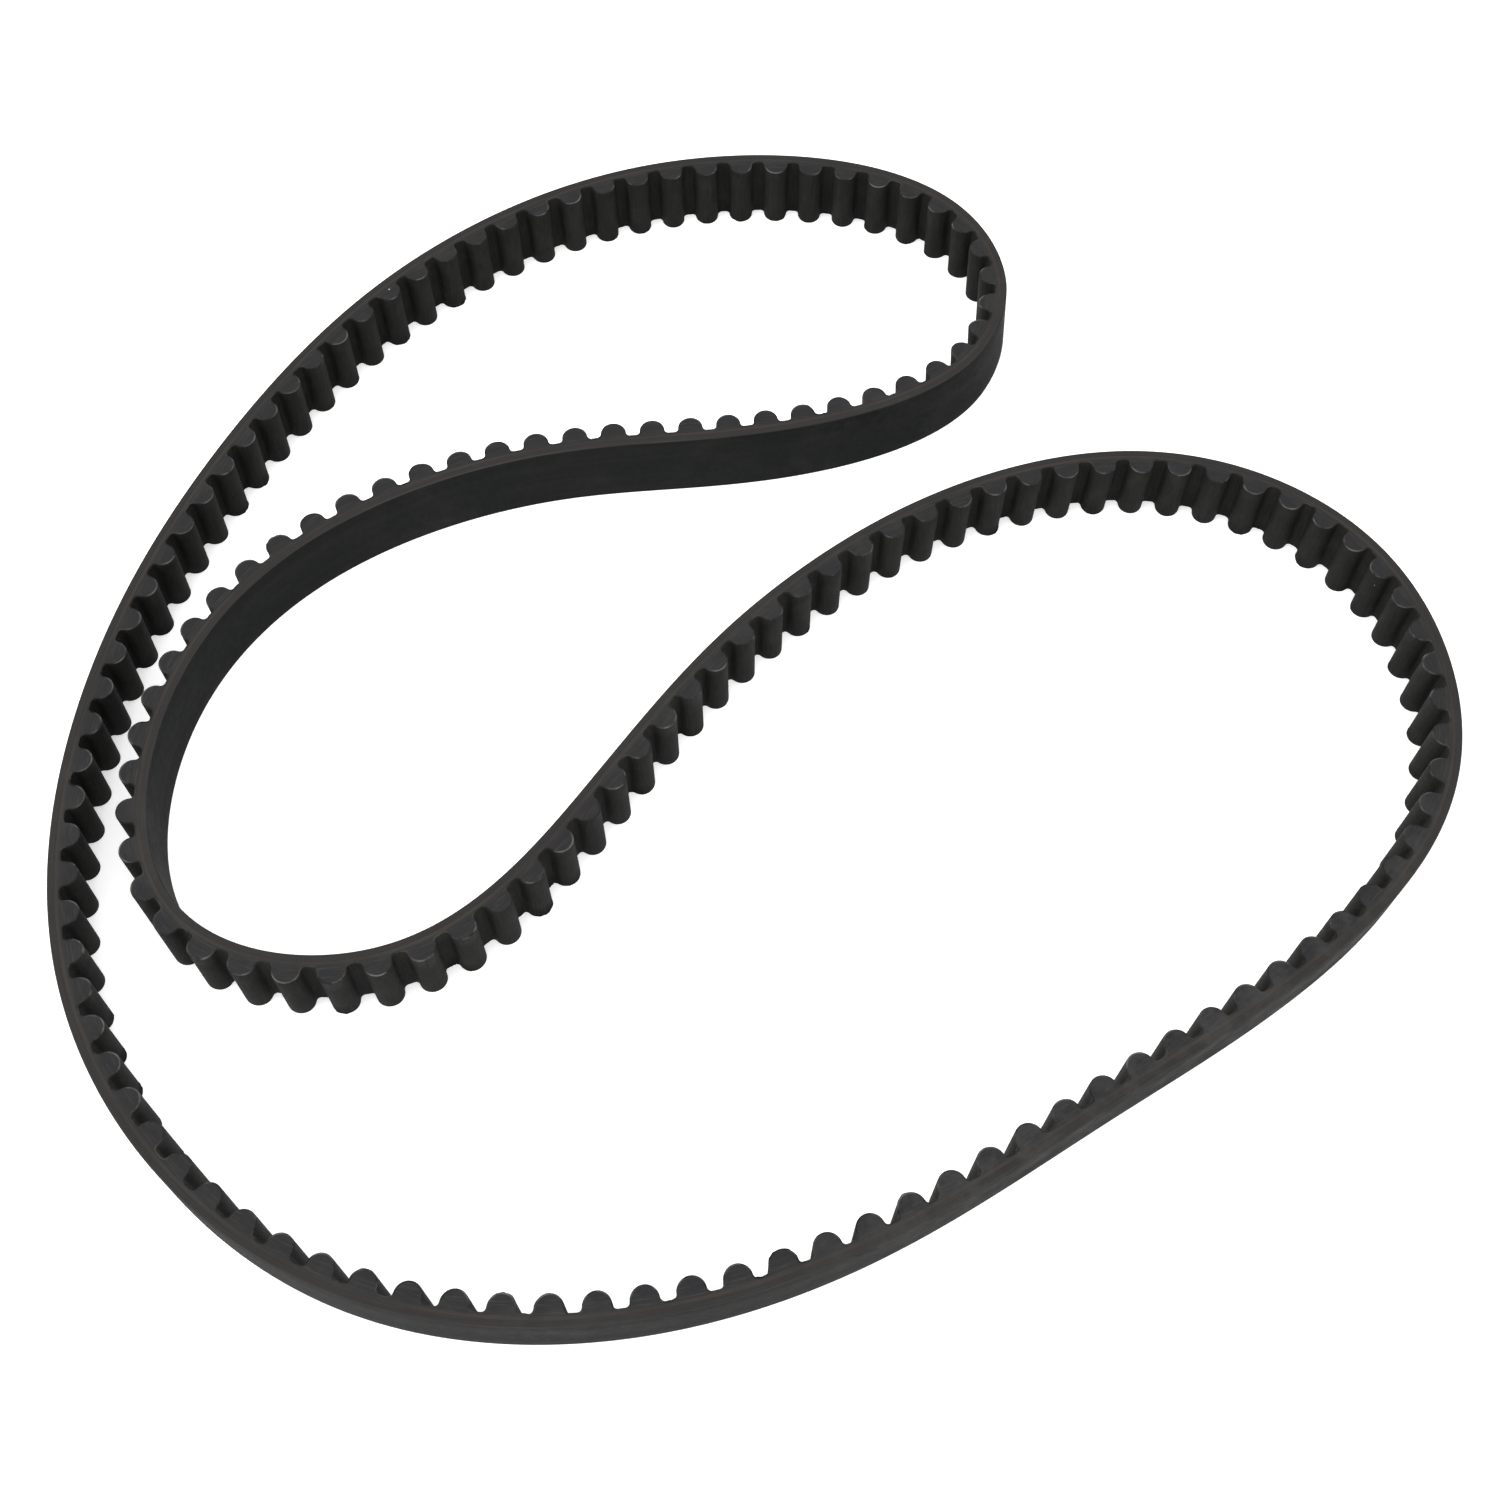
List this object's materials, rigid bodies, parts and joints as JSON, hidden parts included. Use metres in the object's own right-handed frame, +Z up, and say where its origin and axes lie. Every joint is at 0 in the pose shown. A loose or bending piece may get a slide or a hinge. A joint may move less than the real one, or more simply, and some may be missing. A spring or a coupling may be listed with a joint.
{
  "type": "timing belt",
  "caption": "Round-tooth synchronous timing belt standing on its edge, slack and folded into two loops, with backing, cords, tooth rubber and facing as layers.",
  "frame": {"origin": "centre of the outline on the surface that the belt's lower edge rests on", "axes": "+Z up across the belt's width, from one edge to the other; +Y away from the viewer, towards the small loop; +X to the right, towards the round end of the big loop"},
  "size_m": [0.2672, 0.2598, 0.015],
  "materials": {
    "backing_rubber": "ground matte back, slightly bluish black",
    "tensile_cords": "treated glass-fibre cords, seen as a fine brown line in the cut edge",
    "tooth_rubber": "cut rubber, matte, dark grey",
    "tooth_facing": "woven nylon facing, matte, charcoal"
  },
  "bodies": {
    "upper_bend_inner_half": {"upper_bend_inner_half_backing_rubber": "backing_rubber", "upper_bend_inner_half_tensile_cords": "tensile_cords", "upper_bend_inner_half_tooth_rubber": "tooth_rubber", "upper_bend_inner_half_tooth_facing": "tooth_facing"},
    "upper_inner_run": {"upper_inner_run_backing_rubber": "backing_rubber", "upper_inner_run_tensile_cords": "tensile_cords", "upper_inner_run_tooth_rubber": "tooth_rubber", "upper_inner_run_tooth_facing": "tooth_facing"},
    "fold_bend": {"fold_bend_backing_rubber": "backing_rubber", "fold_bend_tensile_cords": "tensile_cords", "fold_bend_tooth_rubber": "tooth_rubber", "fold_bend_tooth_facing": "tooth_facing"},
    "middle_run": {"middle_run_backing_rubber": "backing_rubber", "middle_run_tensile_cords": "tensile_cords", "middle_run_tooth_rubber": "tooth_rubber", "middle_run_tooth_facing": "tooth_facing"},
    "right_bend": {"right_bend_backing_rubber": "backing_rubber", "right_bend_tensile_cords": "tensile_cords", "right_bend_tooth_rubber": "tooth_rubber", "right_bend_tooth_facing": "tooth_facing"},
    "bottom_run": {"bottom_run_backing_rubber": "backing_rubber", "bottom_run_tensile_cords": "tensile_cords", "bottom_run_tooth_rubber": "tooth_rubber", "bottom_run_tooth_facing": "tooth_facing"},
    "left_run": {"left_run_backing_rubber": "backing_rubber", "left_run_tensile_cords": "tensile_cords", "left_run_tooth_rubber": "tooth_rubber", "left_run_tooth_facing": "tooth_facing"},
    "upper_outer_run": {"upper_outer_run_backing_rubber": "backing_rubber", "upper_outer_run_tensile_cords": "tensile_cords", "upper_outer_run_tooth_rubber": "tooth_rubber", "upper_outer_run_tooth_facing": "tooth_facing"},
    "upper_bend_outer_half": {"upper_bend_outer_half_backing_rubber": "backing_rubber", "upper_bend_outer_half_tensile_cords": "tensile_cords", "upper_bend_outer_half_tooth_rubber": "tooth_rubber", "upper_bend_outer_half_tooth_facing": "tooth_facing"}
  },
  "joints": [
    {"name": "lower_left_flex", "type": "hinge", "parent": "left_run", "child": "bottom_run", "pos_m": [-0.03993, -0.12816, 0.0075], "axis": [0, 0, 1], "range_deg": [-12, 5], "stiffness_Nm_per_rad": 0.05},
    {"name": "lower_right_flex", "type": "hinge", "parent": "bottom_run", "child": "right_bend", "pos_m": [0.10836, -0.05638, 0.0075], "axis": [0, 0, 1], "range_deg": [-5, 12]},
    {"name": "upper_right_flex", "type": "hinge", "parent": "right_bend", "child": "middle_run", "pos_m": [0.11147, 0.03415, 0.0075], "axis": [0, 0, 1], "range_deg": [-12, 5]},
    {"name": "fold_lower_flex", "type": "hinge", "parent": "middle_run", "child": "fold_bend", "pos_m": [-0.03682, -0.03762, 0.0075], "axis": [0, 0, 1], "range_deg": [-5, 12]},
    {"name": "upper_left_flex", "type": "hinge", "parent": "left_run", "child": "upper_outer_run", "pos_m": [-0.08517, 0.08771, 0.0075], "axis": [0, 0, 1], "range_deg": [-5, 12], "stiffness_Nm_per_rad": 0.05},
    {"name": "small_loop_top_flex", "type": "hinge", "parent": "upper_outer_run", "child": "upper_bend_outer_half", "pos_m": [0.02265, 0.12565, 0.0075], "axis": [0, 0, 1], "range_deg": [-12, 5]},
    {"name": "fold_upper_flex", "type": "hinge", "parent": "fold_bend", "child": "upper_inner_run", "pos_m": [-0.05849, 0.04464, 0.0075], "axis": [0, 0, 1], "range_deg": [-5, 12]},
    {"name": "small_loop_right_flex", "type": "hinge", "parent": "upper_inner_run", "child": "upper_bend_inner_half", "pos_m": [0.04933, 0.08259, 0.0075], "axis": [0, 0, 1], "range_deg": [-12, 5]}
  ],
  "couplings": [
    {"joint": "lower_right_flex", "follows": "lower_left_flex", "ratio": -1},
    {"joint": "upper_right_flex", "follows": "lower_left_flex", "ratio": 1},
    {"joint": "fold_lower_flex", "follows": "lower_left_flex", "ratio": -1},
    {"joint": "small_loop_top_flex", "follows": "upper_left_flex", "ratio": -1},
    {"joint": "fold_upper_flex", "follows": "upper_left_flex", "ratio": 1},
    {"joint": "small_loop_right_flex", "follows": "upper_left_flex", "ratio": -1}
  ]
}
